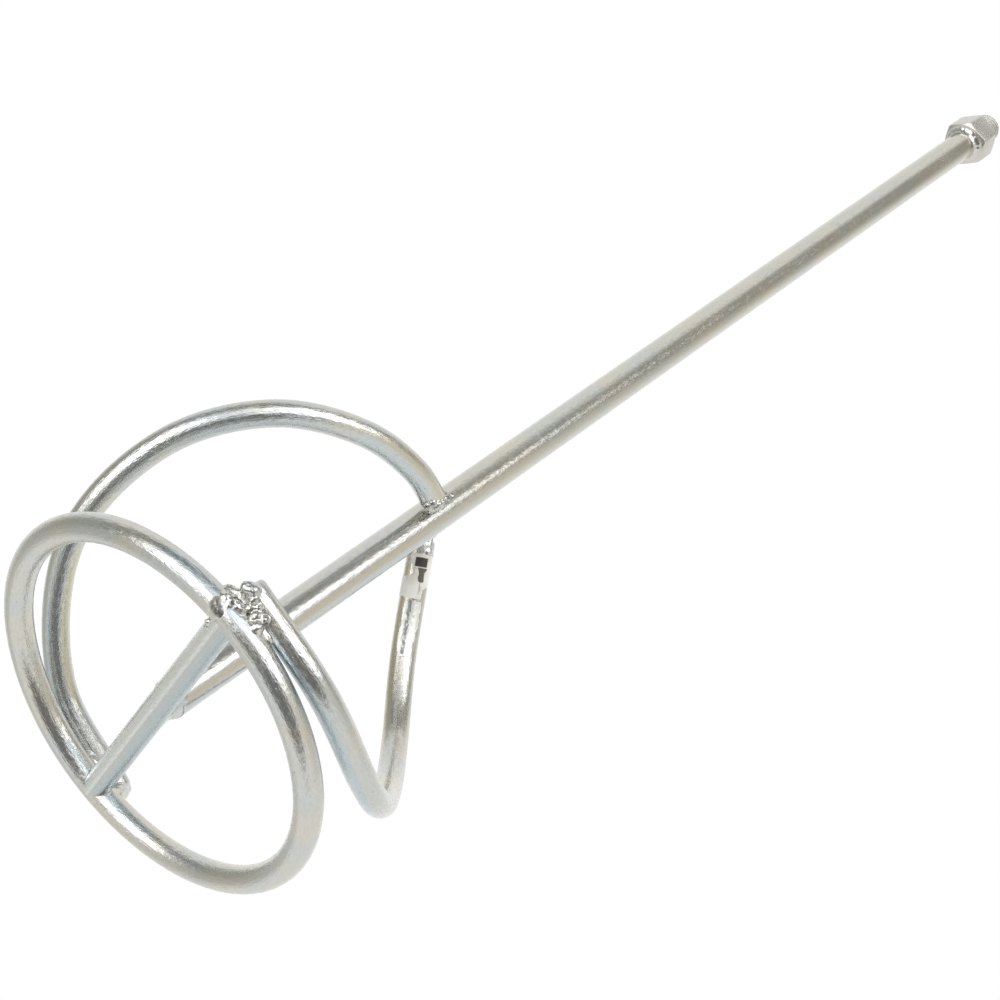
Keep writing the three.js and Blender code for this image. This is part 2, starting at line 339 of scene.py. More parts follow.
def zinc_material(
    name,
    tone,
    tint_depth=0.5,
    drawn=True,
    roughness=0.17,
    grain_height=0.16,
    blue=None,
    straw=None,
    pale=None,
    shaded_hollows=False,
    tinted_below=None,
    dull_above=None,
):
    """Bright zinc plate over steel: tone is its colour, tint_depth how far the passivation
    strays to blue and straw in patches. blue, straw and pale are painted reflections: they
    tint the sides that face a way blue or straw, or brighten them for pale, each given as a
    direction for facing_camera(), the band's half width in degrees, and its strength. drawn
    adds the lengthwise marks of drawn bar, and the weld flag adds painted shade in a weld's
    hollows. Heights in millimetres: the painted reflection tints stop at tinted_below, the
    plate is dull from dull_above."""
    material = bpy.data.materials.new(name)
    t = Tree(material)
    place = t.add("TexCoord", out=3)
    grain = t.noise(place, 1 / (GRAIN * MM), 2.0, 0.6)
    frost = t.noise(place, 1 / (FROST * MM), 1.0, 0.5, 0.6)
    if drawn:  # stretched along the bar
        straight = t.add("Attribute", out=1, attribute_name="straight_mm")
        grain = t.noise(t.stretch(straight, (0.3, 1.0, 1.0)), 1.2, 2.0, 0.6)
        frost = t.noise(t.stretch(straight, (0.35, 1.0, 1.0)), 1.3, 1.0, 0.5, 0.6)
    pebble = t.noise(place, 1 / (PEBBLE * MM), 1.0)
    clouds = t.noise(place, 1 / (CLOUDS * MM), 3.0, 0.6)
    film = t.noise(place, 1 / (FILM_PATCH * MM), 1.0, 0.5, 0.5)

    height = t.math("ADD", grain, t.math("MULTIPLY", pebble, 0.5))
    if drawn:
        marks = t.noise(t.stretch(straight, (0.035, 1.9, 1.9)), 1.0, 3.0, 0.7)
        height = t.math("ADD", height, t.math("MULTIPLY", marks, 0.3))
    pits = t.add("TexVoronoi", {"Vector": place, "Scale": 1 / (PIT_SPACING * MM)})
    pit = t.remap(pits, 0.02, 0.07, 1.0, 0.0, "SMOOTHSTEP")
    height = t.math("SUBTRACT", height, t.math("MULTIPLY", pit, 0.5))
    bump = t.add("Bump", {"Strength": 1.0, "Distance": grain_height * MM, "Height": height})

    rough = t.remap(frost, 0.42, 0.62, roughness - 0.04, roughness + 0.1)
    rough = t.math("ADD", rough, t.remap(clouds, 0.35, 0.7, 0.0, 0.08))

    straw_tone = (tone[0] * 1.06, tone[1], tone[2] * 0.86, 1)
    blue_tone = (tone[0] * 0.84, tone[1] * 0.97, tone[2] * 1.08, 1)
    # painted highlight: the plate's tone brightened for the pale sides
    painted_highlight_tone = tuple(1.6 * c for c in tone) + (1,)
    colour = t.mix(t.remap(film, 0.36, 0.64, curve="SMOOTHSTEP"), blue_tone, straw_tone)
    colour = t.mix(tint_depth, tone + (1,), colour)
    up = t.add("SeparateXYZ", (place,), out=2)
    even = 1.0
    if tinted_below:
        fade = ((tinted_below - TINT_FADE) * MM, (tinted_below + TINT_FADE) * MM)
        even = t.remap(up, *fade, 1.0, 0.0)
        neutral = (tone[1], tone[1], tone[1] * 0.99, 1)
        colour = t.mix(t.math("MULTIPLY", even, 0.7), colour, neutral)
    if dull_above:
        dull = t.remap(up, dull_above * MM, (dull_above + 1) * MM, 0.0, DULLING)
        rough = t.math("ADD", rough, dull)
    # painted reflections: the sides that face each given direction take the straw or blue tone,
    # or the brightened one for pale
    for side, side_tone in ((straw, straw_tone), (blue, blue_tone), (pale, painted_highlight_tone)):
        if side:
            toward, width, strength = side
            facing = t.dot(t.add("NewGeometry", out=1), tuple(facing_camera(*toward)))
            edge = math.cos(math.radians(width))
            share = t.remap(facing, edge, (edge + 1) / 2, 0.0, strength, "SMOOTHSTEP")
            colour = t.mix(t.math("MULTIPLY", share, even), colour, side_tone)
    colour = t.mix(t.remap(frost, 0.35, 0.68, 0.0, 0.16), colour, FROST_SHADE)
    colour = t.mix(t.math("MULTIPLY", pit, 0.7), colour, PIT_SHADE)
    # painted shade: the weld darkens by the per-point share worked out from its hollows and shade
    # spots
    if shaded_hollows:
        painted_shade = t.add("Attribute", out=2, attribute_name="painted_shade")
        painted_shade = t.math("MULTIPLY", painted_shade, t.remap(grain, 0.3, 0.55, 0.55, 1.0))
        colour = t.mix(painted_shade, colour, HOLLOW_SHADE_COLOUR)
        rough = t.math("ADD", rough, t.math("MULTIPLY", painted_shade, 0.25))
    shader = t.add(
        "BsdfPrincipled",
        {"Base Color": colour, "Metallic": 1.0, "Roughness": rough, "Normal": bump},
    )
    t.add("OutputMaterial", (shader,))
    return material


def rectangle(t, along, across, middle, half, softness):
    """Share covered by a plain rectangle on a flat sheet, millimetres."""
    covered = None
    for value, centre, reach in zip((along, across), middle, half):
        off = t.math("ABSOLUTE", t.math("SUBTRACT", value, centre))
        inside = t.remap(off, reach - softness, reach + softness, 1.0, 0.0)
        covered = inside if covered is None else t.math("MULTIPLY", covered, inside)
    return covered


def paper_material(name):
    """Label paper with a dark square, and a dark smudge below it that tapers to a tail."""
    material = bpy.data.materials.new(name)
    t = Tree(material)
    place = t.add("TexCoord", out=3)
    flat = t.add("Attribute", out=1, attribute_name="straight_mm")
    along = t.add("SeparateXYZ", (flat,), out=0)
    across = t.add("SeparateXYZ", (flat,), out=1)
    fibres = t.noise(place, 1 / (0.5 * MM), 3.0, 0.7)
    stain = t.noise(place, 1 / (9 * MM), 2.0)
    wander = t.math("SUBTRACT", t.noise(place, 1 / (1.6 * MM), 2.0), 0.5)
    strayed = t.math("ADD", across, t.math("MULTIPLY", wander, 2.4))

    taper = t.remap(along, 5.0, 10.5, 0.0, 0.7)
    pinched = t.math("SUBTRACT", strayed, 1.9)
    pinched = t.math("MULTIPLY", pinched, t.math("ADD", taper, 1.0))

    square = rectangle(t, along, across, (3.0, 1.15), (1.75, 2.4), 0.12)
    smudge = rectangle(t, along, pinched, (7.8, 0.0), (2.7, 1.7), 0.15)
    tail = rectangle(t, along, strayed, (12.6, 1.8), (2.6, 0.24), 0.15)
    colour = t.mix(t.remap(stain, 0.4, 0.6), (0.84, 0.81, 0.74, 1), (0.95, 0.94, 0.90, 1))
    colour = t.mix(t.math("MULTIPLY", tail, 0.7), colour, (0.16, 0.14, 0.10, 1))
    colour = t.mix(t.math("MULTIPLY", smudge, 0.95), colour, (0.075, 0.072, 0.05, 1))
    colour = t.mix(square, colour, (0.045, 0.036, 0.034, 1))
    bump = t.add("Bump", {"Strength": 0.5, "Distance": 0.05 * MM, "Height": fibres})
    shader = t.add(
        "BsdfPrincipled",
        {"Base Color": colour, "Roughness": 0.5, "Coat Weight": 0.5, "Normal": bump},
    )
    t.add("OutputMaterial", (shader,))
    return material


def film_material(name):
    """What is left of the label's lower end: a whitish film, its brightness partly a painted
    highlight, with a painted dark reflection along a line through it.
    """
    material = bpy.data.materials.new(name)
    t = Tree(material)
    place = t.add("TexCoord", out=3)
    flat = t.add("Attribute", out=1, attribute_name="straight_mm")
    along = t.add("SeparateXYZ", (flat,), out=0)
    across = t.add("SeparateXYZ", (flat,), out=1)
    grain = t.noise(place, 1 / (0.9 * MM), 3.0, 0.6)
    wander = t.math("SUBTRACT", t.noise(place, 1 / (1.3 * MM), 3.0), 0.5)
    strayed = t.math("ADD", across, t.math("MULTIPLY", wander, 1.6))
    # painted reflection: a dark ragged line along the film
    dark_reflection_line = rectangle(t, along, strayed, (10.0, -0.6), (12.0, 0.62), 0.2)
    broken = t.noise(t.stretch(flat, (0.5, 1.2, 1.0)), 1.0, 3.0, 0.7)
    dark_reflection_line = t.math("MULTIPLY", dark_reflection_line, t.remap(broken, 0.36, 0.5, 0.15, 1.0))
    # whitish film colour, bright partly as a painted highlight
    colour = t.mix(t.remap(grain, 0.4, 0.65), (0.97, 0.97, 0.95, 1), (0.90, 0.90, 0.88, 1))
    colour = t.mix(t.math("MULTIPLY", dark_reflection_line, 0.85), colour, (0.16, 0.18, 0.16, 1))
    bump = t.add("Bump", {"Strength": 0.5, "Distance": 0.03 * MM, "Height": grain})
    shader = t.add(
        "BsdfPrincipled",
        {"Base Color": colour, "Metallic": 0.7, "Roughness": 0.3, "Normal": bump},
    )
    t.add("OutputMaterial", (shader,))
    return material


# The blue, straw and pale sides given below are painted reflections: colour laid on the sides
# that face those directions, brightened for pale.
RING_ZINC = zinc_material(
    "zinc_plated_ring",
    (0.715, 0.71, 0.69),
    0.3,
    blue=((60, 34), 24, 0.7),
    straw=((345, 46), 30, 0.25),
)
CROSSBAR_ZINC = zinc_material(
    "zinc_plated_crossbar",
    (0.57, 0.595, 0.59),
    0.12,
    roughness=0.19,
    blue=((285, 74), 42, 0.6),
    pale=((173, 63), 51, 1.0),
)
ARM_A_ZINC = zinc_material(
    "zinc_plated_arm_a",
    (0.69, 0.70, 0.69),
    0.35,
    blue=((250, 40), 34, 0.3),
    straw=((350, 58), 30, 1.0),
)
ARM_B_ZINC = zinc_material(
    "zinc_plated_arm_b",
    (0.695, 0.685, 0.66),
    0.3,
    blue=((238, 52), 38, 0.9),
    straw=((165, 50), 36, 0.9),
)
SHAFT_ZINC = zinc_material(
    "zinc_plated_shaft",
    (0.715, 0.70, 0.655),
    0.3,
    roughness=0.11,
    grain_height=0.075,
    blue=((315, 72), 20, 0.8),
    straw=((353, 50), 8, 0.8),
    tinted_below=150,
    dull_above=NUT_TOP,
)
NUT_ZINC = zinc_material(
    "zinc_plated_nut",
    (0.74, 0.72, 0.69),
    0.15,
    drawn=False,
    roughness=0.26,
    grain_height=0.05,
)
WELD_ZINC = zinc_material(
    "zinc_plated_weld",
    (0.74, 0.74, 0.73),
    0.3,
    drawn=False,
    roughness=0.12,
    grain_height=0.06,
    shaded_hollows=True,
)
PAPER = paper_material("label_paper")
FILM = film_material("label_film")

# ---- bars ----

cut_bar_piece(
    "ring_bar",
    ring_line(SEAM_ANGLE + SEAM_GAP, SEAM_ANGLE + 360 - SEAM_GAP, 720),
    RING_ZINC,
    ["bottom_ring"],
)
CROSSBAR = np.array([(-RING_RADIUS, 0, RING_HEIGHT), (RING_RADIUS, 0, RING_HEIGHT)])
cut_bar_piece("crossbar_bar", CROSSBAR, CROSSBAR_ZINC, ["crossbar"])
cut_bar_piece("arm_a_bar", ARM_A, ARM_A_ZINC, ["helical_arm_a"], ARM_EDGE)
cut_bar_piece("arm_b_bar", ARM_B, ARM_B_ZINC, ["helical_arm_b"], ARM_EDGE)


def build_shaft(sides=96):
    """The shaft with the M14 x 2 thread of the stud at its upper end."""
    flank = 3.2  # the groove deepens fully over 1/3.2 of a pitch
    run_in = 1.2  # height over which the thread comes up to depth
    near, foot_radii = rounded_cut(SHAFT_RADIUS, FOOT_EDGE)
    plain = np.arange(SHAFT_FOOT + 2, NUT_TOP - 1, 6.0)
    threaded = np.arange(NUT_TOP - 0.5, OVERALL_LENGTH, THREAD_PITCH / 16)
    height = np.r_[SHAFT_FOOT + near, plain, threaded, OVERALL_LENGTH]
    turn = np.linspace(0, 1, sides, endpoint=False)
    phase = (height[:, None] / THREAD_PITCH - turn[None, :]) % 1.0
    groove = np.clip(1.15 - np.abs(phase - 0.5) * flank, 0, 1)
    groove *= np.clip((height[:, None] - NUT_TOP) / run_in, 0, 1)
    radii = SHAFT_RADIUS - (SHAFT_RADIUS - THREAD_MINOR) * groove
    chamfer = SHAFT_RADIUS - STUD_CHAMFER + (OVERALL_LENGTH - height[:, None])
    radii = np.minimum(radii, chamfer)
    radii[: len(near)] = foot_radii[:, None]
    axis = np.array([(0, 0, 0), (0, 0, OVERALL_LENGTH)])
    bar_piece("shaft_bar", axis, height, radii, SHAFT_ZINC, ["shaft"], sides)


build_shaft()


def build_nut(sides=288):
    """Hexagon nut with 30 degree chamfers on both faces and slightly rounded edges."""
    blunt = 0.22  # taken off the corners
    corner_blend, chamfer_blend = 0.08, 0.12
    edge = 0.3  # rounding where the chamfer meets the side
    turn = np.linspace(0, 360, sides, endpoint=False)
    off_flat = np.radians((turn - NUT_TURN + 30) % 60 - 30)
    flat = NUT_ACROSS_FLATS / 2 / np.cos(off_flat)
    corner = NUT_ACROSS_FLATS / 2 / math.cos(math.pi / 6) - blunt
    wall = np.exp(-flat / corner_blend) + np.exp(-corner / corner_blend)
    wall = -corner_blend * np.log(wall)

    def fall(radius):
        """How far the chamfered face lies below the nut's end."""
        beyond = (radius - NUT_CHAMFER_RADIUS) / chamfer_blend
        return math.tan(math.pi / 6) * chamfer_blend * np.log1p(np.exp(beyond))

    rows = []
    for share in (0.0, 0.25, 0.5, 0.7, 0.8, 0.88, 0.94, 1.0):
        radius = SHAFT_RADIUS + share * (wall - edge - SHAFT_RADIUS)
        rows.append((radius, fall(radius)))
    for bend in np.radians((25, 45, 65, 90)):
        radius = wall - edge + edge * math.sin(bend)
        rows.append((radius, fall(wall - edge) + edge * (1 - math.cos(bend))))
    top = [(r, NUT_TOP - d) for r, d in rows]
    bottom = [(r, NUT_BOTTOM + d) for r, d in rows[::-1]]
    profile = top + bottom
    radii = np.array([r * np.ones(sides) for r, _ in profile])
    heights = np.array([z * np.ones(sides) for _, z in profile])
    angle = np.radians(turn)
    points = np.stack([radii * np.cos(angle), radii * np.sin(angle), heights], -1)
    faces = [f[::-1] for f in grid_faces(len(profile), sides)]
    add_piece("drive_nut_hex", points.reshape(-1, 3), faces, NUT_ZINC, ["drive_nut"])


build_nut()

# ---- weld metal: shapes sampled as distances, then meshed ----

CELL = 0.28  # sampling step
SUNK = 0.12  # weld pieces run this far under the bars' surfaces, where no weld shows
BEAD_MERGE = 0.35  # how softly one bead runs into the next
BLEND_LEAST = 0.06  # share of a fillet's width that is left at the underside
LINE_STEP = 3  # only every third point of a bar's line is measured from


def to_line(p, line):
    """Distance from each point to a line of joined straight stretches."""
    nearest = np.full(p.shape[:-1], np.inf, np.float32)
    for a, b in zip(line, line[1:]):
        ahead = b - a
        share = np.clip((p - a) @ ahead / (ahead @ ahead), 0, 1)[..., None]
        nearest = np.minimum(nearest, np.linalg.norm(p - a - share * ahead, axis=-1))
    return nearest


def to_bar(p, line, edge, reach=None):
    """Distance to a length of bar with flat cut ends, their edges softened by edge; only
    the stretch within reach counts."""
    part = line
    if reach is not None:
        centre, far = reach
        close = np.flatnonzero(np.linalg.norm(line - centre, axis=1) < far)
        part = line[max(close[0] - 1, 0) : close[-1] + 2]
    thinned = part
    if len(part) > 2:
        thinned = part[sorted({*range(0, len(part), LINE_STEP), len(part) - 1})]
    distance = to_line(p, thinned) - BAR_RADIUS
    for end, inward in ((line[0], line[1]), (line[-1], line[-2])):
        outward = (end - inward) / np.linalg.norm(end - inward)
        if np.linalg.norm(end - part, axis=1).min() < 0.01:
            a, b = distance + edge, (p - end) @ outward + edge
            outside = np.hypot(np.maximum(a, 0), np.maximum(b, 0))
            distance = outside + np.minimum(np.maximum(a, b), 0) - edge
    return distance


def to_ring(p, radius=BAR_RADIUS):
    """Distance to the bottom ring."""
    away = np.hypot(p[..., 0], p[..., 1]) - RING_RADIUS
    return np.hypot(away, p[..., 2] - RING_HEIGHT) - radius


def to_shaft(p):
    """Distance to the shaft and its foot, less exact past the foot's edge."""
    return np.maximum(np.hypot(p[..., 0], p[..., 1]) - SHAFT_RADIUS, SHAFT_FOOT - p[..., 2])


def to_ball(p, centre, radius):
    return np.linalg.norm(p - centre, axis=-1) - radius


def smooth_min(a, b, width):
    """The nearer of two distances, blended where they differ by less than width."""
    overlap = np.maximum(width - np.abs(a - b), 0) / width
    return np.minimum(a, b) - overlap * overlap * width / 4


def net(field, low, cell):
    """Points and quads on the zero level of a sampled field (naive surface nets)."""
    inside = field < 0
    cells = tuple(n - 1 for n in field.shape)
    total = np.zeros(cells + (3,))
    count = np.zeros(cells)
    crossings = []
    for axis in range(3):
        along = [slice(None)] * 3
        along[axis] = slice(0, -1)
        beyond = [slice(None)] * 3
        beyond[axis] = slice(1, None)
        f0, f1 = field[tuple(along)], field[tuple(beyond)]
        crossed = inside[tuple(along)] != inside[tuple(beyond)]
        at = np.argwhere(crossed)
        place = at.astype(float)
        place[:, axis] += (f0 / np.where(crossed, f0 - f1, 1))[crossed]
        others = [a for a in range(3) if a != axis]
        kept = np.all([(at[:, o] > 0) & (at[:, o] < cells[o]) for o in others], axis=0)
        at, place = at[kept], place[kept]
        around = []
        for back in ((0, 0), (1, 0), (1, 1), (0, 1)):
            corner = at.copy()
            corner[:, others[0]] -= back[0]
            corner[:, others[1]] -= back[1]
            np.add.at(total, tuple(corner.T), place)
            np.add.at(count, tuple(corner.T), 1)
            around.append(corner)
        leaving = inside[tuple(along)][tuple(at.T)]
        crossings.append((around, leaving, axis))
    used = count > 0
    number = np.full(cells, -1)
    number[used] = np.arange(used.sum())
    points = total[used] / count[used][:, None] * cell + low
    faces = []
    for around, leaving, axis in crossings:
        quad = np.stack([number[tuple(c.T)] for c in around], axis=1)
        flip = leaving if axis != 1 else ~leaving
        quad[flip] = quad[flip][:, ::-1]
        faces.extend(quad.tolist())
    return points, faces


def relaxed(points, faces, rounds, share=0.5):
    """Moves every point part of the way to the middle of its neighbours."""
    quads = np.array(faces)
    for _ in range(rounds):
        total, count = np.zeros_like(points), np.zeros(len(points))
        for i in range(4):
            for j in (1, 3):
                np.add.at(total, quads[:, i], points[quads[:, (i + j) % 4]])
                np.add.at(count, quads[:, i], 1)
        points = points + (total / count[:, None] - points) * share
    return points


def outward_from(points, quads):
    """Unit normals of a mesh of quads."""
    normal = np.cross(
        points[quads[:, 2]] - points[quads[:, 0]], points[quads[:, 3]] - points[quads[:, 1]]
    )
    outward = np.zeros_like(points)
    for i in range(4):
        np.add.at(outward, quads[:, i], normal)
    return outward / np.maximum(np.linalg.norm(outward, axis=1), 1e-9)[:, None]


def weld_piece(
    name,
    centre,
    half,
    bars,
    beads,
    stands_for,
    fillet,
    bead_blend=0.9,
    wobble=0.22,
    shade_spots=(),
    shade_limit=1.0,
):
    """Weld metal at a joint, sampled within half of centre. bars(p) lists distances to the
    bars there, which it joins with a fillet, the width of their blend, that runs out toward
    the underside. beads are (centre, radius). Painted shade darkens the weld's hollows, no
    further than the given limit, and round the given shade spots, which are (centre, radius)."""
    centre, half = np.asarray(centre, float), np.asarray(half, float)
    low = centre - half
    steps = [np.arange(0, 2 * h, CELL) for h in half]
    p = np.stack(np.meshgrid(*steps, indexing="ij"), -1).astype(np.float32) + low
    bare = bars(p)
    field = bare[0] + SUNK
    width = fillet(p) if callable(fillet) else fillet
    width = width * np.clip(p[..., 2] / BAR_RADIUS, BLEND_LEAST, 1)
    for other in bare[1:]:
        field = smooth_min(field, other + SUNK, width)
    if beads:
        metal = np.full(field.shape, np.inf, np.float32)
        for bead_centre, radius in beads:
            metal = smooth_min(metal, to_ball(p, bead_centre, radius), BEAD_MERGE)
        field = smooth_min(field, metal, bead_blend)
    block = (np.abs(p - centre) - half + 1.5 * CELL).max(axis=-1)
    field = np.maximum(field, np.maximum(block, -p[..., 2]))
    points, faces = net(field, low, CELL)
    points = relaxed(points, faces, 2)

    # the weld's surface wavers where it stands proud of the bars
    proud = np.min(bars(points), axis=0)
    lift = np.clip((proud - 0.05) / 0.8, 0, 1) * wobble
    waves = np.array([noise.fractal(Vector(q) * 0.55, 1.0, 2.0, 3) for q in points])
    quads = np.array(faces)
    points = points + outward_from(points, quads) * (lift * waves)[:, None]
    points[:, 2] = np.maximum(points[:, 2], 0)

    # painted shade by how hollow the surface is, and near the given shade spots
    sag = ((relaxed(points, faces, 1, 1.0) - points) * outward_from(points, quads)).sum(axis=1)
    painted_shade = np.clip((sag / CELL**2 - 0.14) / 0.28, 0, shade_limit)
    for spot, reach in shade_spots:
        away = np.linalg.norm(points - spot, axis=1) / reach
        painted_shade = np.maximum(painted_shade, np.clip(2.2 - 2.2 * away, 0, 0.84))
    piece = add_piece(name, points, faces, WELD_ZINC, stands_for)
    piece.data.attributes.new("painted_shade", "FLOAT", "POINT").data.foreach_set("value", painted_shade)


def groove_beads(arm, rng, start, end, sides, sizes=(1.7, 2.6)):
    """Rows of beads in the grooves between the start of an arm and the ring below it, on
    the outer side (1), the inner side (-1) or both."""
    beads = []
    distance = start
    while distance < end:
        on_arm = at_distance(arm, distance)
        turn = math.degrees(math.atan2(on_arm[1], on_arm[0]))
        on_ring = polar(turn, RING_RADIUS, RING_HEIGHT)
        middle = (on_arm + on_ring) / 2
        link = (on_arm - on_ring) / np.linalg.norm(on_arm - on_ring)
        along = polar(turn + 90, 1, 0)
        outward = np.cross(along, link)
        if outward @ polar(turn, 1, 0) < 0:
            outward = -outward
        for side in sides:
            spot = middle + outward * side * rng.uniform(1.0, 2.3) + link * rng.uniform(-1.3, 1.3)
            beads.append((spot, rng.uniform(*sizes)))
        beads.append((middle, 2.4))  # fills the space between the two bars
        distance += rng.uniform(1.3, 2.2)
    return beads


def spatter(rng, spots, count, spread, sizes=(0.35, 0.75)):
    """Small droplets scattered round the given spots."""
    return [
        (spots[rng.integers(len(spots))] + rng.normal(0, spread, 3), rng.uniform(*sizes))
        for _ in range(count)
    ]


def arm_ring_weld(side, arm, beads, shade_spots=(), shade_limit=1.0):
    """The weld between an arm's start and the ring."""
    on_arm = at_distance(arm, 8.0)
    turn = math.degrees(math.atan2(on_arm[1], on_arm[0]))
    centre = (on_arm + polar(turn, RING_RADIUS, RING_HEIGHT)) / 2
    reach = (centre, 26)
    weld_piece(
        f"weld_metal_arm_ring_{side}",
        centre,
        (11, 17, 12),
        lambda p: [to_ring(p), to_bar(p, arm, ARM_EDGE, reach)],
        beads,
        [f"weld_arm_ring_{side}"],
        fillet=1.2,
        shade_spots=shade_spots,
        shade_limit=shade_limit,
    )


def bead_run(start, end, radii, count):
    """A smooth run of weld metal: closely spaced beads on a straight line."""
    places = np.linspace(start, end, count)
    return list(zip(places, np.linspace(*radii, count)))


def balls(*rows):
    """(centre, radius) from rows of x, y, z, radius."""
    return [(np.array(row[:3]), row[3]) for row in rows]


# The near joint, at the arm b end of the crossbar, is the one that the photo shows best:
# its beads are given one by one.
rng = np.random.default_rng(7)
near_beads = groove_beads(ARM_B, rng, 0.5, 17, (-1,))
# the wide run on the ring's outer side, where its seam was closed too
near_beads += balls(
    (-71.3, 4.2, 6.0, 2.4),
    (-71.4, 2.4, 6.3, 2.6),
    (-71.4, 0.4, 6.6, 2.5),
    (-71.5, -1.2, 6.9, 2.2),
)
# barely proud of the ring: the notch left at its seam
near_beads += bead_run((-69.5, 5.2, 3.2), (-69.0, 2.2, 2.7), (2.45, 2.4), 5)
# behind and over the arm's start
near_beads += bead_run((-70.0, 6.2, 9.0), (-70.8, 3.6, 10.2), (2.2, 1.9), 4)
near_beads += bead_run((-74.6, 2.6, 12.0), (-75.3, 0.9, 12.6), (2.5, 2.4), 4)
# the row up the arm's lower end
near_beads += balls(
    (-74.2, -1.4, 11.4, 1.9),
    (-72.3, -2.7, 9.9, 1.8),
    (-71.7, -5.9, 9.8, 2.4),
    (-71.6, -8.8, 7.3, 2.3),
    (-73.6, -4.2, 11.3, 1.3),
    (-73.0, -8.4, 10.6, 1.3),
)
near_beads += spatter(rng, [polar(178, 72, 4.5), polar(184, 72, 8)], 10, 1.6)
# painted shade spots: dark patches in the crevices between the beads and in the notch at the
# ring's seam
near_shade_spots = balls(
    # between the beads
    (-71.2, -2.9, 8.4, 1.6),
    # the notch at the seam
    (-71.5, 5.2, 1.7, 2.2),
    (-70.9, 3.9, 1.2, 2.4),
    (-70.6, 2.4, 0.8, 2.0),
    (-70.5, 0.8, 0.8, 1.2),
    # along the row up the arm
    (-75.0, -2.6, 12.2, 0.9),
    (-74.6, -4.4, 12.0, 0.9),
    (-73.9, -6.2, 11.4, 0.9),
    (-73.2, -8.0, 11.2, 0.9),
    (-72.6, -9.8, 10.2, 0.9),
)
arm_ring_weld("b", ARM_B, near_beads, near_shade_spots)

far_beads = groove_beads(ARM_A, rng, 3, 17, (1, -1), (1.2, 1.9))
# the smooth run round the arm's lower end
far_beads += bead_run((72.0, -5.2, 15.4), (66.0, -7.4, 8.0), (3.3, 2.9), 14)
arm_ring_weld("a", ARM_A, far_beads, shade_limit=0.4)


def arm_shaft_weld(side, arm, beads, fillet, shade_spots=(), bead_blend=0.9):
    """The weld between an arm's upper end and the shaft."""
    centre = at_distance(arm, lengths_along(arm)[-1] - 5)
    reach = (centre, 24)
    weld_piece(
        f"weld_metal_arm_shaft_{side}",
        centre,
        (13, 13, 17),
        lambda p: [to_shaft(p), to_bar(p, arm, ARM_EDGE, reach)],
        beads,
        [f"weld_arm_shaft_{side}"],
        fillet=fillet,
        bead_blend=bead_blend,
        shade_spots=shade_spots,
    )


def end_beads(arm, rng, count):
    """Beads round the upper end of an arm, in its groove against the shaft."""
    length = lengths_along(arm)[-1]
    beads = []
    for share in np.linspace(0, 1, count):
        on_arm = at_distance(arm, length - 12 * share)
        inward = -on_arm * (1, 1, 0) / np.linalg.norm(on_arm[:2])
        ahead = at_distance(arm, length) - at_distance(arm, length - 2)
        square = np.cross(inward, ahead / np.linalg.norm(ahead))
        for edge in (1, -1):
            spot = on_arm + inward * 3.6 + square * edge * rng.uniform(3.0, 4.2)
            beads.append((spot, rng.uniform(1.1, 1.9)))
    tip = arm[-1]
    for _ in range(5):
        beads.append((tip + rng.normal(0, 1.0, 3) + (0, 0, 1.2), rng.uniform(1.4, 2.2)))
    return beads


# Arm a's end is in sight too, and its beads are also given one by one.
arm_a_shaft_beads = balls(
    (-12.6, 1.9, 141.0, 1.5),
    (-14.6, 1.5, 141.9, 1.6),
    (-14.3, 0.1, 143.8, 1.7),
    (-11.4, 0.5, 142.2, 1.6),
    (-14.3, -0.4, 146.0, 1.5),
    (-9.9, 0.2, 142.8, 1.4),
    (-12.2, -0.6, 143.6, 1.5),
    (-12.4, -1.2, 145.6, 1.3),
    (-14.0, 0.3, 148.0, 1.3),
    (-12.2, 3.8, 140.4, 1.1),
    (-8.6, 0.4, 145.4, 1.2),
    (-9.4, -0.4, 148.2, 1.4),
    (-8.2, 0.6, 151.2, 1.4),
    (-7.2, 2.2, 153.6, 1.2),
    (-6.8, 0.9, 155.4, 1.1),
    (-6.0, 3.5, 156.6, 1.0),
    (-6.6, 1.2, 158.4, 0.8),
)
# painted shade spots in the crevices among the beads at arm a's upper end
arm_a_shaft_shade_spots = balls(
    (-12.1, 4.7, 140.0, 1.3),
    (-7.4, 0.4, 144.4, 1.1),
    (-6.9, 2.4, 154.0, 1.2),
    (-6.6, 2.4, 156.4, 1.0),
)
arm_shaft_weld("a", ARM_A, arm_a_shaft_beads, 1.5, arm_a_shaft_shade_spots, bead_blend=0.5)
arm_shaft_weld("b", ARM_B, end_beads(ARM_B, np.random.default_rng(3), 6), 2.5)


def crossbar_weld(side, toward, beads, fillet):
    """The weld between the crossbar's end toward +X (1) or -X (-1) and the ring."""
    weld_piece(
        f"weld_metal_crossbar_ring_{side}",
        (toward * 63, 0, 5.5),
        (10, 15, 6.5),
        lambda p: [to_ring(p), to_bar(p, CROSSBAR, CUT_EDGE)],
        beads,
        [f"weld_crossbar_ring_{side}"],
        fillet=fillet,
        wobble=0.12,
        shade_limit=0.2,
    )


crossbar_weld("a", 1, [], 1.6)
crossbar_weld("b", -1, balls((-62.3, 3.3, 0.9, 0.9), (-60.6, 2.6, 0.5, 0.8)), 3.0)

weld_piece(
    "weld_metal_shaft_foot",
    (0, 0, 10),
    (14, 10, 8),
    lambda p: [to_shaft(p), to_bar(p, CROSSBAR, CUT_EDGE)],
    [],
    ["weld_shaft_foot"],
    fillet=lambda p: 3.6 - 2.1 * np.tanh(p[..., 1] / 2.5),  # wide toward -Y, narrow toward +Y
    wobble=0.15,
)


